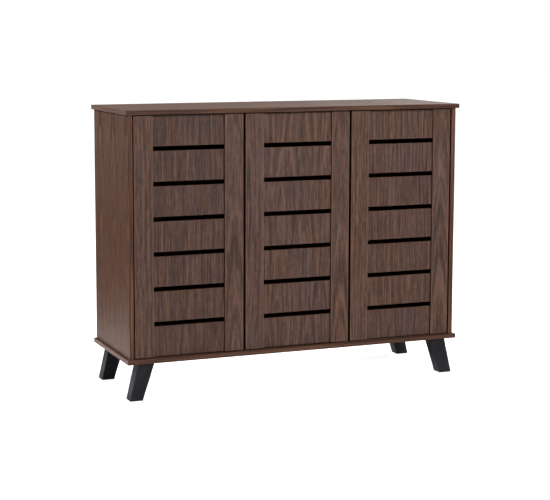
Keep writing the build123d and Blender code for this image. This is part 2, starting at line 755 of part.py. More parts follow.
with BuildPart() as catch_housings:
    for door in doors:
        catch_y = (catch_front_y, catch_front_y + CATCH_DEPTH)
        body_x = (door.catch_x - CATCH_WIDTH / 2, door.catch_x + CATCH_WIDTH / 2)
        ear_x = (body_x[0] - CATCH_EAR_LENGTH, body_x[1] + CATCH_EAR_LENGTH)
        span(body_x, catch_y, (top_bottom - CATCH_HEIGHT, top_bottom))
        span(ear_x, catch_y, (top_bottom - CATCH_EAR_THICKNESS, top_bottom))
        magnet_pocket_x = (door.catch_x - magnet_x - MAGNET_FIT, door.catch_x + magnet_x + MAGNET_FIT)
        magnet_pocket_y = (catch_front_y, magnet_front_y + MAGNET_DEPTH)
        span(magnet_pocket_x, magnet_pocket_y, magnet_pocket_z, Mode.SUBTRACT)
        for seat in catch_screw_seats(door):
            screw_pilot(seat, UP)
keep(catch_housings, "catch_housings")

with BuildPart() as catch_magnets:
    for door in doors:
        x_limits = (door.catch_x - magnet_x, door.catch_x + magnet_x)
        span(x_limits, (magnet_front_y, magnet_front_y + MAGNET_DEPTH), magnet_z)
keep(catch_magnets, "catch_magnets")

with BuildPart() as catch_screws:
    for door in doors:
        for seat in catch_screw_seats(door):
            pan_screw(seat, UP)
keep(catch_screws, "catch_screws")

for door in doors:
    with BuildPart() as strike_plate:
        x_limits = (door.catch_x - STRIKE_WIDTH / 2, door.catch_x + STRIKE_WIDTH / 2)
        high_z = door_top - STRIKE_TOP_INSET
        span(x_limits, (door_back_y, strike_face_y), (high_z - STRIKE_HEIGHT, high_z))
        screw_pilot(strike_screw_seat(door), FORWARD)
    keep(strike_plate, f"{door.name}_strike_plate")
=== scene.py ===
from dataclasses import dataclass
from math import cos, pi, radians, sin

import bmesh
import bpy
from mathutils import Matrix, Vector


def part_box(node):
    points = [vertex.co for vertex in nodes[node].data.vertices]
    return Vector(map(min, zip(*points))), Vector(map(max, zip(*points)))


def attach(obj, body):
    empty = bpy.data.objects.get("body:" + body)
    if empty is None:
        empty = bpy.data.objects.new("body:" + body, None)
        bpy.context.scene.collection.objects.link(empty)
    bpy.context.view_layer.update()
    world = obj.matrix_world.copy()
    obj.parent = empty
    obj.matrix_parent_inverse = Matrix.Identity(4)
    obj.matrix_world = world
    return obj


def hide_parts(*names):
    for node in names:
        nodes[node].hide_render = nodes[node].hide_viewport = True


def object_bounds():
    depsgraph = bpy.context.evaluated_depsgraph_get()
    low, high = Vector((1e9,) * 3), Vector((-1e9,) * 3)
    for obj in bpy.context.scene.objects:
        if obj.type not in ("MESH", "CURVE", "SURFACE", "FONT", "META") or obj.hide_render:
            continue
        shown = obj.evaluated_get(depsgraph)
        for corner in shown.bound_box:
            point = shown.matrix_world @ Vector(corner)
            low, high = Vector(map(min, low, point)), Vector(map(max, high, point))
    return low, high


# Three-door shoe cabinet: finishes, small hardware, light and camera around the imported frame.
# Metres. X is the width, Y runs from the front (negative) to the back, Z is up.

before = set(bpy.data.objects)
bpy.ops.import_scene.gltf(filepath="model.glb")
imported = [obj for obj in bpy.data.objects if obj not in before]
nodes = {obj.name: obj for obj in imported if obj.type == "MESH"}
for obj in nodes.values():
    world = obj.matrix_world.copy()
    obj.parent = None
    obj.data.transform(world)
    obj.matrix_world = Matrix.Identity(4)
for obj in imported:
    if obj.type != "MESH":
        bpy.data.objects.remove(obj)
cad_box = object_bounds()
DOORS = ("left_door", "middle_door", "right_door")
BAYS = ("left", "middle", "right")
SHELF_TIERS = (1, 2, 3)
UPRIGHTS = ("left_side_panel", "left_partition", "right_partition", "right_side_panel")
LEGS = ("front_left_leg", "front_right_leg", "back_left_leg", "back_right_leg")
AXES = ("X", "Y", "Z")
WHITE = (1.0, 1.0, 1.0, 1.0)

# A face counts as flat where its normal is this close to an axis
FLAT_FACING = 0.9

# Corners of a solid this close together are one corner
WELD_DISTANCE = 1e-6

# Finer octaves that a noise adds, the middle of its values, and how far from there clouds of it reach
SOFT = 1.0
USUAL = 2.0
RICH = 3.0
FELTED = 4.0
NOISE_MIDDLE = 0.5
CLOUD_REACH = 0.15

# Sockets of the mix node for colours, which share their names with those for numbers and vectors
MIX_FACTOR = 0
MIX_FIRST = 6
MIX_SECOND = 7
MIX_RESULT = 2

# The curve between a picture's levels and linear light
FULL_LEVEL = 255
CURVE_TOE = 0.04045
CURVE_SLOPE = 12.92
CURVE_OFFSET = 0.055
CURVE_POWER = 2.4


def srgb(red, green, blue):
    """The linear colour that shaders take, from levels of 0 to 255 as a picture shows them."""
    def linear(level):
        share = level / FULL_LEVEL
        if share <= CURVE_TOE:
            return share / CURVE_SLOPE
        return ((share + CURVE_OFFSET) / (1 + CURVE_OFFSET)) ** CURVE_POWER
    return (linear(red), linear(green), linear(blue), 1.0)


class Nodes:
    """Adds nodes to one shader tree. A socket is given a number, a colour or another node's output."""

    def __init__(self, tree):
        self.tree = tree

    def add(self, kind, inputs=None, **settings):
        node = self.tree.nodes.new(kind)
        for name, value in settings.items():
            setattr(node, name, value)
        for key, value in (inputs or {}).items():
            self.feed(node.inputs[key], value)
        return node

    def feed(self, socket, value):
        if isinstance(value, bpy.types.NodeSocket):
            self.tree.links.new(value, socket)
        else:
            socket.default_value = value

    def math(self, operation, first, second=0.0):
        return self.add("ShaderNodeMath", {0: first, 1: second}, operation=operation).outputs[0]

    def plus(self, first, second):
        return self.math("ADD", first, second)

    def minus(self, first, second):
        return self.math("SUBTRACT", first, second)

    def times(self, first, second):
        return self.math("MULTIPLY", first, second)

    def vector(self, x, y, z):
        return self.add("ShaderNodeCombineXYZ", {"X": x, "Y": y, "Z": z}).outputs[0]

    def separate(self, vector):
        return self.add("ShaderNodeSeparateXYZ", {"Vector": vector}).outputs

    def noise(self, vector, scale=1.0, detail=USUAL):
        inputs = {"Vector": vector, "Scale": scale, "Detail": detail}
        return self.add("ShaderNodeTexNoise", inputs).outputs[0]

    def line_noise(self, value, detail, roughness):
        inputs = {"W": value, "Scale": 1.0, "Detail": detail, "Roughness": roughness}
        return self.add("ShaderNodeTexNoise", inputs, noise_dimensions="1D").outputs[0]

    def ramp(self, value, low, high, new_low=0.0, new_high=1.0):
        """value from low to high becomes new_low to new_high, smoothly and no further."""
        inputs = {
            "Value": value,
            "From Min": low,
            "From Max": high,
            "To Min": new_low,
            "To Max": new_high,
        }
        return self.add("ShaderNodeMapRange", inputs, interpolation_type="SMOOTHSTEP").outputs[0]

    def spread(self, noise, reach, new_low=0.0, new_high=1.0):
        """A noise, from reach below its middle to reach above it, becomes new_low to new_high."""
        return self.ramp(noise, NOISE_MIDDLE - reach, NOISE_MIDDLE + reach, new_low, new_high)

    def blend(self, factor, first, second, how="MIX"):
        inputs = {MIX_FACTOR: factor, MIX_FIRST: first, MIX_SECOND: second}
        node = self.add("ShaderNodeMix", inputs, data_type="RGBA", blend_type=how)
        return node.outputs[MIX_RESULT]

    def colours(self, value, stops):
        """A colour ramp through (position, colour) stops."""
        node = self.add("ShaderNodeValToRGB", {0: value})
        elements = node.color_ramp.elements
        while len(elements) < len(stops):
            elements.new(1.0)
        for element, (position, colour) in zip(elements, stops):
            element.position = position
            element.color = colour
        return node.outputs[0]

    def bump(self, height, strength, distance):
        inputs = {"Height": height, "Strength": strength, "Distance": distance}
        return self.add("ShaderNodeBump", inputs).outputs[0]


def new_material(name):
    """A bare material, its nodes and its surface shader."""
    material = bpy.data.materials.new(name)
    material.use_nodes = True
    material.node_tree.nodes.clear()
    n = Nodes(material.node_tree)
    shader = n.add("ShaderNodeBsdfPrincipled")
    output = n.add("ShaderNodeOutputMaterial", {"Surface": shader.outputs[0]})
    output.is_active_output = True
    return material, n, shader


def place(n):
    """Coordinates on the object at rest, which move with it."""
    return n.add("ShaderNodeTexCoord").outputs


def dress(node, material):
    """Give a CAD node one material all over."""
    for slot in nodes[node].material_slots:
        slot.material = material


def islands(node):
    """The separate solids of a node, each as a list of corner points at rest."""
    mesh = bmesh.new()
    mesh.from_mesh(nodes[node].data)
    bmesh.ops.remove_doubles(mesh, verts=mesh.verts, dist=WELD_DISTANCE)
    waiting = set(mesh.verts)
    found = []
    while waiting:
        group = [waiting.pop()]
        for vertex in group:
            for edge in vertex.link_edges:
                other = edge.other_vert(vertex)
                if other in waiting:
                    waiting.remove(other)
                    group.append(other)
        found.append([vertex.co.copy() for vertex in group])
    mesh.free()
    return found


def corners(points):
    """Lowest and highest corner of some points."""
    low = Vector([min(point[axis] for point in points) for axis in range(3)])
    high = Vector([max(point[axis] for point in points) for axis in range(3)])
    return low, high


# Walnut print: sizes in metres, and rates in cycles for each metre across and along the grain
SWAY_SIZE = 0.03
SWAY_ACROSS = 4.0
SWAY_ALONG = 1.6
WANDER_SIZE = 0.003
WANDER_ACROSS = 26.0
WANDER_ALONG = 5.0
HEART_SPACING = 0.15
HEART_DEPTH = 0.03
RING_RATE = 150.0
RING_ROUGHNESS = 0.6
STREAK_ACROSS = 120.0
STREAK_ALONG = 5.0
FIBRE_ACROSS = 360.0
FIBRE_ALONG = 16.0
MOTTLE_ACROSS = 90.0
MOTTLE_ALONG = 55.0
PORE_ACROSS = 1500.0
PORE_ALONG = 34.0
PORE_STARTS = 0.58
PORE_FULL = 0.74
PORE_DEPTH = 0.3
PATCH_ACROSS = 12.0
PATCH_ALONG = 2.0
RIBBON_ACROSS = 70.0
RIBBON_ALONG = 3.0
BAND_THROUGH = 200.0
BAND_ALONG = 4.0
SCUFF_RATE = 55.0
SCUFF_STARTS = 0.5
SCUFF_FULL = 0.7
SCUFF_DEPTH = 0.2
RIM_WEAR_AND_HIGHLIGHT = 0.005

# Shares of the print's tone and hue, and how far tone, hue and edge lines reach from their middle
RING_SHARE = 0.32
STREAK_SHARE = 0.22
FIBRE_SHARE = 0.35
MOTTLE_SHARE = 0.11
HUE_SHARE = 0.5
TONE_REACH = 0.14
HUE_REACH = 0.18
LINE_REACH = 0.2

# The print's colours, gloss and relief
WALNUT_DARK = srgb(60, 44, 39)
WALNUT_STOPS = [
    (0.0, WALNUT_DARK),
    (0.35, srgb(77, 56, 49)),
    (0.65, srgb(89, 66, 57)),
    (1.0, srgb(107, 80, 69)),
]
COOL_TINT = (0.93, 1.0, 1.11, 1.0)
WARM_TINT = (1.07, 1.0, 0.88, 1.0)
BAND_STOPS = [
    (0.0, srgb(58, 37, 27)),
    (0.5, srgb(77, 50, 38)),
    (1.0, srgb(97, 66, 50)),
]
# Paler band for the ends of the top and base: painted light, for the light those ends catch
LIT_END_STOPS = [
    (0.0, srgb(86, 65, 56)),
    (0.5, srgb(101, 77, 67)),
    (1.0, srgb(116, 90, 79)),
]
# Colour of worn rims, also used as the painted highlight along the stiles' arrises
WORN_AND_LIT_EDGE = srgb(112, 88, 76)
GLOSS_CHANGE = -0.06
GLOSS_LEVEL = 0.49
PORE_GLOSS = 0.12
FIBRE_RELIEF = 0.35
FIGURE_INPUTS = (
    "Across", "Along", "Through", "Seed", "Taper", "Edge", "End", "Rim",
    "Arris highlight", "Warmth", "Lightness", "Edge tone and painted shading",
)


def walnut_figure():
    """A group of nodes that turns a place on a board into the print's colour, roughness and relief."""
    tree = bpy.data.node_groups.new("walnut_figure", "ShaderNodeTree")
    for name in FIGURE_INPUTS:
        tree.interface.new_socket(name, in_out="INPUT", socket_type="NodeSocketFloat")
    tree.interface.new_socket("Colour", in_out="OUTPUT", socket_type="NodeSocketColor")
    tree.interface.new_socket("Roughness", in_out="OUTPUT", socket_type="NodeSocketFloat")
    tree.interface.new_socket("Height", in_out="OUTPUT", socket_type="NodeSocketFloat")
    n = Nodes(tree)
    given = n.add("NodeGroupInput").outputs
    along = given["Along"]
    seed = given["Seed"]

    def grain(across, across_rate, along_rate, detail=USUAL):
        point = n.vector(n.times(across, across_rate), n.times(along, along_rate), seed)
        return n.noise(point, detail=detail)

    sway = grain(given["Across"], SWAY_ACROSS, SWAY_ALONG, SOFT)
    wander = grain(given["Across"], WANDER_ACROSS, WANDER_ALONG)
    swayed = n.plus(given["Across"], n.times(n.minus(sway, NOISE_MIDDLE), SWAY_SIZE))
    across = n.plus(swayed, n.times(n.minus(wander, NOISE_MIDDLE), WANDER_SIZE))

    # Arches: growth rings cut by the board at a small angle, round hearts at a fixed spacing
    from_heart = n.math("PINGPONG", n.plus(across, seed), HEART_SPACING / 2)
    depth = n.plus(n.times(along, given["Taper"]), HEART_DEPTH)
    ring_radius = n.math("SQRT", n.plus(n.times(from_heart, from_heart), n.times(depth, depth)))
    rings = n.line_noise(n.plus(n.times(ring_radius, RING_RATE), seed), RICH, RING_ROUGHNESS)

    # Light and dark: rings, streaks, fibres and a mottle, each a share of the tone
    streaks = grain(across, STREAK_ACROSS, STREAK_ALONG, RICH)
    fibres = grain(across, FIBRE_ACROSS, FIBRE_ALONG)
    mottle = grain(across, MOTTLE_ACROSS, MOTTLE_ALONG)
    pores = n.ramp(grain(across, PORE_ACROSS, PORE_ALONG, SOFT), PORE_STARTS, PORE_FULL)
    coarse = n.plus(n.times(rings, RING_SHARE), n.times(streaks, STREAK_SHARE))
    fine = n.plus(n.times(fibres, FIBRE_SHARE), n.times(mottle, MOTTLE_SHARE))
    tone = n.spread(n.plus(n.plus(coarse, fine), given["Lightness"]), TONE_REACH)
    face = n.colours(tone, WALNUT_STOPS)
    face = n.blend(n.times(pores, PORE_DEPTH), face, WALNUT_DARK)

    # Warm and cool patches and ribbons, apart from light and dark
    patches = grain(across, PATCH_ACROSS, PATCH_ALONG)
    ribbons = grain(across, RIBBON_ACROSS, RIBBON_ALONG)
    hue = n.plus(n.times(n.plus(patches, ribbons), HUE_SHARE), given["Warmth"])
    tint = n.blend(n.spread(hue, HUE_REACH), COOL_TINT, WARM_TINT)
    face = n.blend(1.0, face, tint, "MULTIPLY")

    # Edges carry a narrow band whose lines run along the edge; on some ends the band is paler, as
    # painted light for the light those ends catch
    run = n.times(n.plus(given["Across"], along), BAND_ALONG)
    lines = n.noise(n.vector(n.times(given["Through"], BAND_THROUGH), run, seed))
    line_tone = n.spread(lines, LINE_REACH)
    band = n.blend(given["End"], n.colours(line_tone, BAND_STOPS), n.colours(line_tone, LIT_END_STOPS))
    # The band is multiplied by the edge tone; on stiles this is painted shade on outer edges and painted
    # light on inner edges
    band = n.blend(1.0, band, given["Edge tone and painted shading"], "MULTIPLY")
    colour = n.blend(given["Edge"], face, band)

    # Painted highlight: arrises are lighter all along, in place of light caught on rounded edges; any
    # rim is also lighter where it is worn by handling
    spot = n.vector(given["Across"], along, given["Through"])
    scuffs = n.ramp(n.noise(spot, scale=SCUFF_RATE), SCUFF_STARTS, SCUFF_FULL)
    near_rim = n.times(n.ramp(given["Rim"], 0.0, RIM_WEAR_AND_HIGHLIGHT, 1.0, 0.0), n.minus(1.0, given["Edge"]))
    wear_and_highlight = n.times(near_rim, n.plus(n.times(scuffs, SCUFF_DEPTH), given["Arris highlight"]))
    colour = n.blend(wear_and_highlight, colour, WORN_AND_LIT_EDGE)

    roughness = n.plus(n.plus(n.times(tone, GLOSS_CHANGE), GLOSS_LEVEL), n.times(pores, PORE_GLOSS))
    relief = n.minus(n.times(fibres, FIBRE_RELIEF), pores)
    n.add("NodeGroupOutput", {"Colour": colour, "Roughness": roughness, "Height": relief})
    return tree


# Walnut boards: their gloss and relief, what sets one board's print apart from another's, and the
# painted light and shade on some edges
WALNUT = walnut_figure()
WALNUT_TAPER = 0.05
WALNUT_SPECULAR = 0.15
WALNUT_BUMP = 0.25
WALNUT_RELIEF = 0.0004
SIDE_WARMTH = 0.12
SIDE_TINT = (1.03, 0.95, 0.88, 1.0)
SIDE_EDGING = 1.25
STILE_WARMTH = 0.03
# Painted highlight along the stiles' arrises
STILE_ARRIS_HIGHLIGHT = 0.6
# Painted shade on the stiles' outer edges, which face the gaps between doors, and painted light on their
# inner edges
OUTER_EDGE_PAINTED_SHADE = 0.4
INNER_EDGE_PAINTED_LIGHT = 1.45
SLAT_LIGHTNESS = {"left_door": -0.023, "middle_door": 0.0, "right_door": -0.012}
SEED_STEP = 7.31
SLAT_SEED = 30
SLAT_SEED_STEP = SEED_STEP / 2
SLAT_SHIFT = 0.35


@dataclass
class Finish:
    """How a board departs from the plain print, with painted light and shade. outer is the side, -1 or
    1, whose edge is painted dark as shade.
    """

    warmth: float = 0.0
    lightness: float = 0.0
    arris_highlight: float = 0.0
    edge_tone_and_shading: float = 1.0
    face_tint: tuple = WHITE
    painted_lit_ends: bool = False
    outer: int = 0


class Stack:
    """Equal boards of one node, one above another: the lowest one's foot, their height and pitch."""

    def __init__(self, node):
        boxes = sorted((corners(points) for points in islands(node)), key=lambda box: box[0].z)
        self.low = boxes[0][0].z
        self.height = boxes[0][1].z - self.low
        self.pitch = boxes[1][0].z - self.low


def walnut(name, box, grain_axis, seed, finish, stack=None):
    """A board of printed walnut. A stack of boards has its own print on each."""
    low, high = box
    size = high - low
    through = min(range(3), key=lambda axis: size[axis])
    grain = AXES.index(grain_axis)
    across = next(axis for axis in range(3) if axis not in (through, grain))
    material, n, shader = new_material(name)
    where = place(n)
    position = n.separate(where["Object"])
    facing = n.separate(where["Normal"])

    edge = n.math("LESS_THAN", n.math("ABSOLUTE", facing[through]), FLAT_FACING)
    # The ends of some boards take the paler band, as painted light
    end = 0.0
    if finish.painted_lit_ends:
        end = n.math("GREATER_THAN", n.math("ABSOLUTE", facing[grain]), FLAT_FACING)
    edge_tone_and_shading = finish.edge_tone_and_shading
    # On a stile, the outer edge is painted dark as shade in the gap, and the inner edge is painted
    # lighter
    if finish.outer:
        on_outer = n.math("GREATER_THAN", n.times(facing[across], finish.outer), FLAT_FACING)
        edge_tone_and_shading = n.plus(n.times(on_outer, OUTER_EDGE_PAINTED_SHADE - INNER_EDGE_PAINTED_LIGHT), INNER_EDGE_PAINTED_LIGHT)

    along = position[grain]
    across_place = position[across]
    from_low = n.minus(across_place, low[across])
    side_gap = n.math("MINIMUM", from_low, n.minus(high[across], across_place))
    print_seed = seed * SEED_STEP
    board_low, board_high = low[grain], high[grain]
    if stack:
        index = n.math("FLOOR", n.times(n.minus(along, stack.low), 1 / stack.pitch))
        print_seed = n.plus(n.times(index, SLAT_SEED_STEP), print_seed)
        across_place = n.plus(across_place, n.times(index, SLAT_SHIFT))
        board_low = n.plus(n.times(index, stack.pitch), stack.low)
        board_high = n.plus(board_low, stack.height)
    end_gap = n.math("MINIMUM", n.minus(along, board_low), n.minus(board_high, along))

    inputs = {
        "Across": across_place,
        "Along": along,
        "Through": position[through],
        "Seed": print_seed,
        "Taper": WALNUT_TAPER if seed % 2 else -WALNUT_TAPER,
        "Edge": edge,
        "End": end,
        "Rim": n.math("MINIMUM", side_gap, end_gap),
        "Arris highlight": finish.arris_highlight,
        "Warmth": finish.warmth,
        "Lightness": finish.lightness,
        "Edge tone and painted shading": edge_tone_and_shading,
    }
    figure = n.add("ShaderNodeGroup", inputs, node_tree=WALNUT).outputs
    colour = n.blend(n.minus(1.0, edge), figure["Colour"], finish.face_tint, "MULTIPLY")
    n.feed(shader.inputs["Base Color"], colour)
    n.feed(shader.inputs["Roughness"], figure["Roughness"])
    shader.inputs["Specular IOR Level"].default_value = WALNUT_SPECULAR
    n.feed(shader.inputs["Normal"], n.bump(figure["Height"], WALNUT_BUMP, WALNUT_RELIEF))
    return material


PLAIN_FINISH = Finish()
# The top and base have painted light on their ends
CASE_FINISH = Finish(warmth=SIDE_WARMTH, painted_lit_ends=True)
SIDE_FINISH = Finish(warmth=SIDE_WARMTH, edge_tone_and_shading=SIDE_EDGING, face_tint=SIDE_TINT)
boards = [(name, "X", CASE_FINISH) for name in ("top_panel", "base_panel")]
boards += [(name, "Z", SIDE_FINISH) for name in UPRIGHTS]
boards += [(f"{bay}_shelf_{tier}", "X", PLAIN_FINISH) for bay in BAYS for tier in SHELF_TIERS]
for door in DOORS:
    for side, outer in (("left", -1), ("right", 1)):
        stile_finish = Finish(warmth=STILE_WARMTH, arris_highlight=STILE_ARRIS_HIGHLIGHT, outer=outer)
        boards.append((f"{door}_{side}_stile", "Z", stile_finish))
for seed, (name, grain_axis, finish) in enumerate(boards, start=1):
    dress(name, walnut(f"walnut_{name}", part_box(name), grain_axis, seed, finish))

for number, door in enumerate(DOORS):
    node = f"{door}_slats"
    finish = Finish(lightness=SLAT_LIGHTNESS[door])
    dress(node, walnut(f"walnut_{node}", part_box(node), "Z", SLAT_SEED + number, finish, Stack(node)))


# Black lacquer on the legs
LACQUER_DARK = srgb(32, 31, 35)
LACQUER_LIGHT = srgb(40, 38, 43)
LACQUER_WORN = srgb(52, 50, 54)
LACQUER_CLOUD_RATE = 16.0
LEG_GRAIN_ACROSS = 260.0
LEG_GRAIN_ALONG = 11.0
LEG_GRAIN_RELIEF = 0.6
PEEL_RATE = 750.0
PEEL_RELIEF = 0.25
RUB_RATE = 70.0
RUB_STARTS = 0.4
RUB_FULL = 0.65
RUB_DEPTH = 0.6
BEVEL_FACING = 0.78
LACQUER_ROUGHNESS = 0.4
LACQUER_ROUGHNESS_CHANGE = 0.08
LACQUER_SPECULAR = 0.09
LACQUER_BUMP = 0.3
LACQUER_RELIEF = 0.0004


def black_lacquer():
    """Satin black over wood: faint grain along the leg, orange peel, and paint rubbed thin on bevels."""
    material, n, shader = new_material("black_leg_lacquer")
    where = place(n)
    x, y, z = n.separate(where["Object"])
    level = (n.times(x, LEG_GRAIN_ACROSS), n.times(y, LEG_GRAIN_ACROSS))
    grain = n.noise(n.vector(*level, n.times(z, LEG_GRAIN_ALONG)), detail=RICH)
    peel = n.noise(where["Object"], scale=PEEL_RATE, detail=SOFT)
    clouds = n.spread(n.noise(where["Object"], scale=LACQUER_CLOUD_RATE), CLOUD_REACH)
    colour = n.blend(clouds, LACQUER_DARK, LACQUER_LIGHT)
    tilt = [n.math("ABSOLUTE", part) for part in n.separate(where["Normal"])]
    flatness = n.math("MAXIMUM", n.math("MAXIMUM", tilt[0], tilt[1]), tilt[2])
    rubbed = n.ramp(n.noise(where["Object"], scale=RUB_RATE), RUB_STARTS, RUB_FULL)
    bevel = n.times(n.ramp(flatness, BEVEL_FACING, FLAT_FACING, 1.0, 0.0), rubbed)
    n.feed(shader.inputs["Base Color"], n.blend(n.times(bevel, RUB_DEPTH), colour, LACQUER_WORN))
    roughness = n.plus(n.times(clouds, LACQUER_ROUGHNESS_CHANGE), LACQUER_ROUGHNESS)
    n.feed(shader.inputs["Roughness"], roughness)
    shader.inputs["Specular IOR Level"].default_value = LACQUER_SPECULAR
    height = n.plus(n.times(grain, LEG_GRAIN_RELIEF), n.times(peel, PEEL_RELIEF))
    n.feed(shader.inputs["Normal"], n.bump(height, LACQUER_BUMP, LACQUER_RELIEF))
    return material


# Hardboard of the back panel
HARDBOARD_DARK = srgb(92, 67, 47)
HARDBOARD_STOPS = [(0.0, HARDBOARD_DARK), (0.5, srgb(112, 83, 59)), (1.0, srgb(130, 99, 72))]
CURL_RATE = 45.0
CURL_SIZE = (0.02, 0.02, 0.02)
FELT_ALONG = 110.0
FELT_ACROSS = 330.0
FELT_SHARE = 0.5
CLOUD_RATE = 9.0
CLOUD_SHARE = 0.14
SPECK_RATE = 900.0
SPECK_STARTS = 0.66
SPECK_FULL = 0.76
SPECK_DEPTH = 0.5
SPECK_RELIEF = 0.3
HARDBOARD_ROUGHNESS = 0.6
HARDBOARD_ROUGHNESS_CHANGE = 0.12
HARDBOARD_SPECULAR = 0.3
HARDBOARD_BUMP = 0.3
HARDBOARD_RELIEF = 0.0003


def hardboard():
    """Pressed fibre sheet: curled felted fibres, faint clouds and darker specks."""
    material, n, shader = new_material("brown_hardboard")
    where = place(n)["Object"]
    curl = n.add("ShaderNodeTexNoise", {"Vector": where, "Scale": CURL_RATE}).outputs["Color"]
    bending = {0: curl, 1: CURL_SIZE, 2: where}
    bent = n.add("ShaderNodeVectorMath", bending, operation="MULTIPLY_ADD").outputs[0]
    x, y, z = n.separate(bent)
    level = n.noise(n.vector(n.times(x, FELT_ALONG), y, n.times(z, FELT_ACROSS)), detail=FELTED)
    upright = n.noise(n.vector(n.times(x, FELT_ACROSS), y, n.times(z, FELT_ALONG)), detail=FELTED)
    fibres = n.times(n.plus(level, upright), FELT_SHARE)
    clouds = n.noise(where, scale=CLOUD_RATE, detail=RICH)
    specks = n.ramp(n.noise(where, scale=SPECK_RATE, detail=SOFT), SPECK_STARTS, SPECK_FULL)
    tone = n.spread(n.blend(CLOUD_SHARE, fibres, clouds), CLOUD_REACH)
    colour = n.blend(n.times(specks, SPECK_DEPTH), n.colours(tone, HARDBOARD_STOPS), HARDBOARD_DARK)
    n.feed(shader.inputs["Base Color"], colour)
    roughness = n.plus(n.times(tone, HARDBOARD_ROUGHNESS_CHANGE), HARDBOARD_ROUGHNESS)
    n.feed(shader.inputs["Roughness"], roughness)
    shader.inputs["Specular IOR Level"].default_value = HARDBOARD_SPECULAR
    height = n.minus(fibres, n.times(specks, SPECK_RELIEF))
    n.feed(shader.inputs["Normal"], n.bump(height, HARDBOARD_BUMP, HARDBOARD_RELIEF))
    return material


# Metal, plastic, ferrite and pads
ZINC_STOPS = [(0.0, srgb(168, 170, 174)), (0.6, srgb(192, 193, 194)), (1.0, srgb(205, 203, 196))]
PLASTIC_STOPS = [(0.0, srgb(214, 212, 206)), (1.0, srgb(228, 227, 222))]
FERRITE_STOPS = [(0.0, srgb(38, 37, 37)), (1.0, srgb(64, 62, 60))]
PAD_STOPS = [(0.0, srgb(16, 16, 17)), (1.0, srgb(34, 34, 35))]
SPECKLED_CLOUDS = 0.65
SPECKLED_TEXTURE = 0.35
SPECKLED_ROUGHNESS_REACH = 0.2
SPECKLED_ROUGHNESS_CHANGE = 0.07
SPECKLED_RELIEF = 0.0002


def speckled(name, stops, coarse, fine, rough, metal=0.0, relief=0.2):
    """A finish with coarse clouds and a fine texture, which also vary its roughness and relief."""
    material, n, shader = new_material(name)
    where = place(n)["Object"]
    clouds = n.noise(where, scale=coarse, detail=RICH)
    texture = n.noise(where, scale=fine)
    mixed = n.plus(n.times(clouds, SPECKLED_CLOUDS), n.times(texture, SPECKLED_TEXTURE))
    n.feed(shader.inputs["Base Color"], n.colours(n.spread(mixed, CLOUD_REACH), stops))
    smoothest = rough - SPECKLED_ROUGHNESS_CHANGE
    roughest = rough + SPECKLED_ROUGHNESS_CHANGE
    roughness = n.spread(clouds, SPECKLED_ROUGHNESS_REACH, smoothest, roughest)
    n.feed(shader.inputs["Roughness"], roughness)
    shader.inputs["Metallic"].default_value = metal
    n.feed(shader.inputs["Normal"], n.bump(texture, relief, SPECKLED_RELIEF))
    return material


# Beech of the dowels
BEECH_STOPS = [(0.0, srgb(176, 136, 96)), (1.0, srgb(212, 176, 134))]
BEECH_ACROSS = 900.0
BEECH_ALONG = 40.0
BEECH_ROUGHNESS = 0.5
BEECH_ROUGHNESS_CHANGE = 0.2
BEECH_BUMP = 0.3
BEECH_RELIEF = 0.0002


def beech():
    """Pale dowel wood with its grain along Z."""
    material, n, shader = new_material("beech_dowel")
    x, y, z = n.separate(place(n)["Object"])
    level = (n.times(x, BEECH_ACROSS), n.times(y, BEECH_ACROSS))
    grain = n.noise(n.vector(*level, n.times(z, BEECH_ALONG)), detail=RICH)
    n.feed(shader.inputs["Base Color"], n.colours(n.spread(grain, CLOUD_REACH), BEECH_STOPS))
    roughness = n.plus(n.times(grain, BEECH_ROUGHNESS_CHANGE), BEECH_ROUGHNESS)
    n.feed(shader.inputs["Roughness"], roughness)
    n.feed(shader.inputs["Normal"], n.bump(grain, BEECH_BUMP, BEECH_RELIEF))
    return material


ZINC = speckled("zinc_steel", ZINC_STOPS, coarse=90.0, fine=1600.0, rough=0.34, metal=1.0, relief=0.12)
PLASTIC = speckled("white_plastic", PLASTIC_STOPS, coarse=60.0, fine=1200.0, rough=0.42)
FERRITE = speckled("magnet_ferrite", FERRITE_STOPS, coarse=120.0, fine=2200.0, rough=0.6, relief=0.4)
PAD = speckled("black_pad", PAD_STOPS, coarse=80.0, fine=1500.0, rough=0.7, relief=0.5)
LACQUER = black_lacquer()
for leg in LEGS:
    dress(leg, LACQUER)
dress("back_panel", hardboard())
dress("catch_housings", PLASTIC)
dress("catch_magnets", FERRITE)
dress("wood_dowels", beech())
dress("foot_pads", PAD)
for node in ("cam_bolts", "hinge_plates", "shelf_pins"):
    dress(node, ZINC)
for door in DOORS:
    for part in ("hinge_arms", "hinge_cups", "hinge_pins", "strike_plate"):
        dress(f"{door}_{part}", ZINC)


# Small hardware with turned heads, cross slots and threads, in the place of its plain solids.
# Apart from counts and the angle, these are shares of the solids' own sizes.
TURNED_SIDES = 24
DOME_STEPS = 5
HEAD_WALL = 0.4
HEAD_RIM = 0.98
SHANK_LIMIT = 0.9
SLOT_LENGTH = 0.62
SLOT_WIDTH = 0.2
SLOT_DEPTH = 0.6
SLOT_NARROWING = 0.55
THREAD_DEPTH = 0.16
THREAD_PITCH = 0.55
TIP_LENGTH = 1.6
NAIL_CROWN = 0.7
NAIL_CROWN_DROP = 0.3
CAM_SLOT = 0.8
CAM_SLOT_DEPTH = 0.25
CAM_BEVEL = 0.08
SHARP_ANGLE = radians(35)


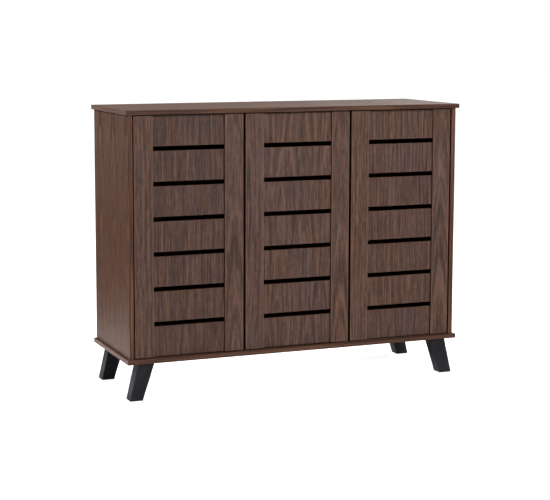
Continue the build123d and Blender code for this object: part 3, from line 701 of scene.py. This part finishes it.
def turned(profile):
    """A closed solid turned round Z from (radius, height) points that start and end on the axis."""
    mesh = bmesh.new()
    turns = [2 * pi * step / TURNED_SIDES for step in range(TURNED_SIDES)]
    rings = []
    for radius, height in profile[1:-1]:
        rings.append([mesh.verts.new((radius * cos(a), radius * sin(a), height)) for a in turns])
    for upper, lower in zip(rings, rings[1:]):
        for step in range(TURNED_SIDES):
            after = (step + 1) % TURNED_SIDES
            mesh.faces.new((upper[step], lower[step], lower[after], upper[after]))
    for ring, (_, height), flip in ((rings[0], profile[0], False), (rings[-1], profile[-1], True)):
        tip = mesh.verts.new((0, 0, height))
        for step in range(TURNED_SIDES):
            pair = (ring[step], ring[(step + 1) % TURNED_SIDES])
            mesh.faces.new((tip, *(reversed(pair) if flip else pair)))
    return mesh


def mesh_object(name, mesh):
    """A new object from a bmesh, which it frees."""
    data = bpy.data.meshes.new(name)
    bmesh.ops.recalc_face_normals(mesh, faces=mesh.faces)
    mesh.to_mesh(data)
    mesh.free()
    made = bpy.data.objects.new(name, data)
    bpy.context.scene.collection.objects.link(made)
    return made


def cross_slot(length, width, depth):
    """Two crossed wedges that narrow downwards, and reach by depth below and above height 0."""
    mesh = bmesh.new()
    for turn in (0, pi / 2):
        wedge = bmesh.ops.create_cube(mesh, size=1.0)["verts"]
        for vertex in wedge:
            narrowing = 1.0 if vertex.co.z > 0 else SLOT_NARROWING
            x = vertex.co.x * length * narrowing
            y = vertex.co.y * width * narrowing
            z = vertex.co.z * 2 * depth
            vertex.co = Matrix.Rotation(turn, 3, "Z") @ Vector((x, y, z))
    return mesh


def with_cross_slot(mesh, size):
    """The mesh of a head with the cross slot cut out of its top, which is at height 0."""
    blank = mesh_object("blank", mesh)
    across = 2 * size.slot_radius
    wedges = cross_slot(SLOT_LENGTH * across, SLOT_WIDTH * across, size.slot_depth)
    cutter = mesh_object("cutter", wedges)
    cut = blank.modifiers.new("cross_slot", "BOOLEAN")
    cut.operation = "DIFFERENCE"
    cut.solver = "EXACT"
    cut.use_self = True
    cut.object = cutter
    bpy.context.view_layer.update()
    finished = blank.evaluated_get(bpy.context.evaluated_depsgraph_get())
    data = bpy.data.meshes.new_from_object(finished)
    result = bmesh.new()
    result.from_mesh(data)
    for thing in (blank, cutter):
        bpy.data.objects.remove(thing)
    return result


class Fastener:
    """Sizes and place of a headed fastener, read from the corner points of its plain solid."""

    def __init__(self, points):
        low, high = corners(points)
        middle = (low + high) / 2
        self.axis = max(range(3), key=lambda axis: high[axis] - low[axis])
        self.length = high[self.axis] - low[self.axis]

        def radius(point):
            offset = point - middle
            offset[self.axis] = 0
            return offset.length

        self.head_radius = max(radius(point) for point in points)
        rim = [point for point in points if radius(point) > HEAD_RIM * self.head_radius]
        head_ends = [point[self.axis] for point in rim]
        shank = [radius(point) for point in points if radius(point) < SHANK_LIMIT * self.head_radius]
        self.shank_radius = max(shank)
        self.head_height = max(head_ends) - min(head_ends)
        self.head_high = max(head_ends) > middle[self.axis]
        self.slot_radius = self.head_radius
        self.slot_depth = SLOT_DEPTH * (self.head_height or self.shank_radius)
        self.top = middle
        self.top[self.axis] = high[self.axis] if self.head_high else low[self.axis]

    def matrix(self):
        """Turns a mesh whose head's top is at the origin, pointing up, into this place."""
        outward = Vector((0, 0, 0))
        outward[self.axis] = 1 if self.head_high else -1
        return Matrix.Translation(self.top) @ outward.to_track_quat("Z", "Y").to_matrix().to_4x4()


class CamDisc(Fastener):
    """A round cam, whose face is flush with the nearer face of the upright that holds it."""

    def __init__(self, points):
        low, high = corners(points)
        self.axis = AXES.index("X")
        self.length = high.x - low.x
        self.head_radius = (high.z - low.z) / 2
        self.slot_radius = CAM_SLOT * self.head_radius
        self.slot_depth = CAM_SLOT_DEPTH * self.length
        board_boxes = [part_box(name) for name in UPRIGHTS]
        board_low, board_high = min(board_boxes, key=lambda box: abs((box[0] + box[1] - low - high).x))
        self.head_high = board_high.x - high.x < low.x - board_low.x
        self.top = (low + high) / 2
        self.top.x = high.x if self.head_high else low.x


def thread(shank_radius, start, end):
    """Profile points of a ridged shank down to a point."""
    core = shank_radius * (1 - THREAD_DEPTH)
    pitch = THREAD_PITCH * 2 * shank_radius
    tip_start = end + TIP_LENGTH * shank_radius
    points = [(core, start)]
    height = start - pitch
    while height > tip_start + pitch:
        points.append((core, height + pitch / 2))
        points.append((shank_radius, height))
        height -= pitch
    points.append((core, tip_start))
    points.append((0, end))
    return points


def pan_head(size):
    """Profile of a domed head with a flat rim, and its shank."""
    rim = -size.head_height * (1 - HEAD_WALL)
    turns = [pi / 2 * step / DOME_STEPS for step in range(1, DOME_STEPS + 1)]
    dome = [(size.head_radius * sin(a), rim * (1 - cos(a))) for a in turns]
    under = (size.head_radius, -size.head_height)
    return [(0, 0.0), *dome, under, *thread(size.shank_radius, -size.head_height, -size.length)]


def flat_head(size):
    """Profile of a countersunk head, flush with the board, and its shank."""
    cone = size.head_radius - size.shank_radius
    return [(0, 0.0), (size.head_radius, 0.0), *thread(size.shank_radius, -cone, -size.length)]


def nail(size):
    """Profile of a nail with a slightly domed head."""
    rim = -size.head_height * HEAD_WALL
    tip = -size.length + TIP_LENGTH * size.shank_radius
    crown = (size.head_radius * NAIL_CROWN, rim * NAIL_CROWN_DROP)
    head = [(0, 0.0), crown, (size.head_radius, rim), (size.head_radius, -size.head_height)]
    shank = [(size.shank_radius, -size.head_height), (size.shank_radius, tip)]
    return [*head, *shank, (0, -size.length)]


def cam_disc(size):
    """Profile of a disc with a small bevel round its face."""
    bevel = CAM_BEVEL * size.head_radius
    rim = [(size.head_radius - bevel, 0.0), (size.head_radius, -bevel)]
    return [(0, 0.0), *rim, (size.head_radius, -size.length), (0, -size.length)]


def fasteners(node, body, profile, slotted=True, read=Fastener):
    """A detailed piece for a node of identical fasteners, riding on that node's body."""
    sizes = [read(points) for points in islands(node)]
    pattern = turned(profile(sizes[0]))
    if slotted:
        pattern = with_cross_slot(pattern, sizes[0])
    one = bpy.data.meshes.new("one")
    pattern.to_mesh(one)
    pattern.free()
    together = bmesh.new()
    for size in sizes:
        before = len(together.verts)
        together.from_mesh(one)
        together.verts.ensure_lookup_table()
        bmesh.ops.transform(together, matrix=size.matrix(), verts=together.verts[before:])
    piece = mesh_object(f"detailed_{node}", together)
    piece.data.materials.append(ZINC)
    piece.data.shade_smooth()
    piece.data.set_sharp_from_angle(angle=SHARP_ANGLE)
    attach(piece, body)
    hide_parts(node)


for door in DOORS:
    fasteners(f"{door}_screws", door, pan_head)
fasteners("hinge_screws", "cabinet", pan_head)
fasteners("catch_screws", "cabinet", pan_head)
fasteners("leg_screws", "cabinet", flat_head)
fasteners("back_panel_nails", "cabinet", nail, slotted=False)
fasteners("cam_discs", "cabinet", cam_disc, read=CamDisc)


# Lamps: places in metres from the middle of the cabinet, sizes in metres, powers in watts
KEY_PLACE = Vector((2.0, -6.2, 3.0))
KEY_SIZE = 2.2
KEY_POWER = 407.0
SIDE_PLACE = Vector((-4.0, 1.0, 2.6))
SIDE_SIZE = 1.4
SIDE_POWER = 172.0
TOP_PLACE = Vector((-0.3, 0.9, 2.8))
TOP_SIZE = 2.0
TOP_POWER = 55.0
RIM_PLACE = Vector((4.2, 1.6, 0.9))
RIM_SIZE = 1.6
RIM_POWER = 90.0
AMBIENT = 0.15

# What gloss shows of the room: a wall that is bright to the back right
WALL_DIRECTION = radians(45)
WALL_STARTS = 0.92
WALL_FULL = 0.985
WALL_DARK = 0.12
WALL_BRIGHT = 2.2

# What gloss shows of the floor: white near the cabinet, brighter on its left and shaded under it,
# then dark, and bright again far behind
SWEEP_NEAR = 1.05
SWEEP_FAR = 1.7
LEFT_GLOW = 1.95
LEFT_REACH = 0.1
SHADE_DEPTH = 0.85
SHADE_RIM = 0.06
SHADE_FULL = 0.05
SHADE_BACK = 0.1
BACK_STARTS = 5.0
BACK_FULL = 14.0
BACK_GLOW = 0.8

# The floor that the camera sees
FLOOR_SIZE = 60.0
FLOOR_COLOUR = (0.7, 0.7, 0.7, 1.0)
FLOOR_GLOW = 0.9


def ray_kinds(n):
    """1 on rays from the camera, and 1 on rays that show the surroundings in gloss or through glass."""
    path = n.add("ShaderNodeLightPath").outputs
    return path["Is Camera Ray"], n.math("MAXIMUM", path["Is Glossy Ray"], path["Is Transmission Ray"])


def by_ray(n, in_view, in_gloss, otherwise):
    """A value for each kind of ray."""
    camera, mirrored = ray_kinds(n)
    shown = n.plus(n.times(camera, in_view), n.times(mirrored, in_gloss))
    unseen = n.minus(1.0, n.math("MAXIMUM", camera, mirrored))
    return n.plus(shown, n.times(unseen, otherwise))


def light_world():
    """White to the camera, the wall in gloss, and a little light from all round."""
    world = bpy.data.worlds.new("studio")
    bpy.context.scene.world = world
    world.use_nodes = True
    world.node_tree.nodes.clear()
    n = Nodes(world.node_tree)
    x, y, _ = n.separate(place(n)["Generated"])
    level = n.math("SQRT", n.plus(n.times(x, x), n.times(y, y)))
    towards = n.plus(n.times(x, sin(WALL_DIRECTION)), n.times(y, cos(WALL_DIRECTION)))
    turned_to_it = n.math("DIVIDE", towards, level)
    wall = n.ramp(turned_to_it, WALL_STARTS, WALL_FULL, WALL_DARK, WALL_BRIGHT)
    strength = by_ray(n, in_view=1.0, in_gloss=wall, otherwise=AMBIENT)
    light = n.add("ShaderNodeBackground", {"Color": WHITE, "Strength": strength})
    n.add("ShaderNodeOutputWorld", {"Surface": light.outputs[0]})


def lamp(name, spot, size, power):
    """A round lamp, unseen by the camera, that points at the middle of the cabinet."""
    data = bpy.data.lights.new(name, "AREA")
    data.shape = "DISK"
    data.size = size
    data.energy = power
    light = bpy.data.objects.new(name, data)
    light.visible_camera = False
    middle = (cad_box[0] + cad_box[1]) / 2
    light.location = middle + spot
    light.rotation_mode = "QUATERNION"
    light.rotation_quaternion = (-spot).to_track_quat("-Z", "Y")
    bpy.context.scene.collection.objects.link(light)


def shade_under(n, x, y):
    """The share of light on the floor, which is all of it in the open and least under the cabinet."""
    half_width, half_depth = cad_box[1].x, cad_box[1].y
    beside = n.ramp(n.math("ABSOLUTE", x), half_width - SHADE_RIM, half_width, 1.0, 0.0)
    from_front = n.ramp(y, -half_depth, SHADE_FULL)
    behind = n.ramp(y, half_depth - SHADE_BACK, half_depth, 1.0, 0.0)
    shaded = n.times(n.times(beside, from_front), behind)
    return n.minus(1.0, n.times(shaded, SHADE_DEPTH))


def floor_material():
    """Matt and pale, to take shadows, with a white glow to the camera and its own look in gloss."""
    material = bpy.data.materials.new("floor")
    material.use_nodes = True
    material.node_tree.nodes.clear()
    n = Nodes(material.node_tree)
    camera, mirrored = ray_kinds(n)
    x, y, _ = n.separate(place(n)["Object"])
    distance = n.math("SQRT", n.plus(n.times(x, x), n.times(y, y)))
    fading = n.ramp(distance, SWEEP_NEAR, SWEEP_FAR, 1.0, 0.0)
    left_end = cad_box[0].x
    on_left = n.ramp(x, left_end - LEFT_REACH, left_end, LEFT_GLOW, 1.0)
    near = n.times(n.times(fading, on_left), shade_under(n, x, y))
    sweep = n.plus(near, n.ramp(y, BACK_STARTS, BACK_FULL, 0.0, BACK_GLOW))
    matt = n.add("ShaderNodeBsdfDiffuse", {"Color": FLOOR_COLOUR})
    white = n.ramp(distance, SWEEP_NEAR, SWEEP_FAR, FLOOR_GLOW, 1.0)
    glow = n.add("ShaderNodeEmission", {"Color": WHITE, "Strength": n.times(camera, white)})
    lit = n.add("ShaderNodeAddShader", {0: matt.outputs[0], 1: glow.outputs[0]})
    mirror_image = n.add("ShaderNodeEmission", {"Color": WHITE, "Strength": sweep})
    both = n.add("ShaderNodeMixShader", {0: mirrored, 1: lit.outputs[0], 2: mirror_image.outputs[0]})
    n.add("ShaderNodeOutputMaterial", {"Surface": both.outputs[0]})
    return material


def lay_floor():
    """One large square under the feet."""
    mesh = bpy.data.meshes.new("floor")
    half = FLOOR_SIZE / 2
    outline = [(-half, -half, 0), (half, -half, 0), (half, half, 0), (-half, half, 0)]
    mesh.from_pydata(outline, [], [(0, 1, 2, 3)])
    mesh.materials.append(floor_material())
    floor = bpy.data.objects.new("floor", mesh)
    bpy.context.scene.collection.objects.link(floor)


# Camera: its place, direction and focal length come from the cabinet's corners in the photograph
IMAGE_WIDTH = 550
FOCAL_PIXELS = 1496.0
SENSOR_WIDTH = 36.0
CAMERA_PLACE = Vector((-1.9914, -4.7259, 1.2038))
CAMERA_YAW = radians(21.534)
CAMERA_PITCH = radians(6.992)
SHIFT_X = 0.0598
SHIFT_Y = -0.0707


def set_camera():
    """The photograph's view of the cabinet."""
    data = bpy.data.cameras.new("camera")
    data.sensor_fit = "HORIZONTAL"
    data.sensor_width = SENSOR_WIDTH
    data.lens = FOCAL_PIXELS / IMAGE_WIDTH * SENSOR_WIDTH
    data.shift_x = SHIFT_X
    data.shift_y = SHIFT_Y
    camera = bpy.data.objects.new("camera", data)
    level = cos(CAMERA_PITCH)
    forward = Vector((sin(CAMERA_YAW) * level, cos(CAMERA_YAW) * level, -sin(CAMERA_PITCH)))
    camera.location = CAMERA_PLACE
    camera.rotation_mode = "QUATERNION"
    camera.rotation_quaternion = forward.to_track_quat("-Z", "Y")
    bpy.context.scene.collection.objects.link(camera)
    bpy.context.scene.camera = camera


light_world()
lamp("key_lamp", KEY_PLACE, KEY_SIZE, KEY_POWER)
lamp("side_lamp", SIDE_PLACE, SIDE_SIZE, SIDE_POWER)
lamp("top_lamp", TOP_PLACE, TOP_SIZE, TOP_POWER)
lamp("rim_lamp", RIM_PLACE, RIM_SIZE, RIM_POWER)
lay_floor()
set_camera()
bpy.context.scene.view_settings.view_transform = "Standard"
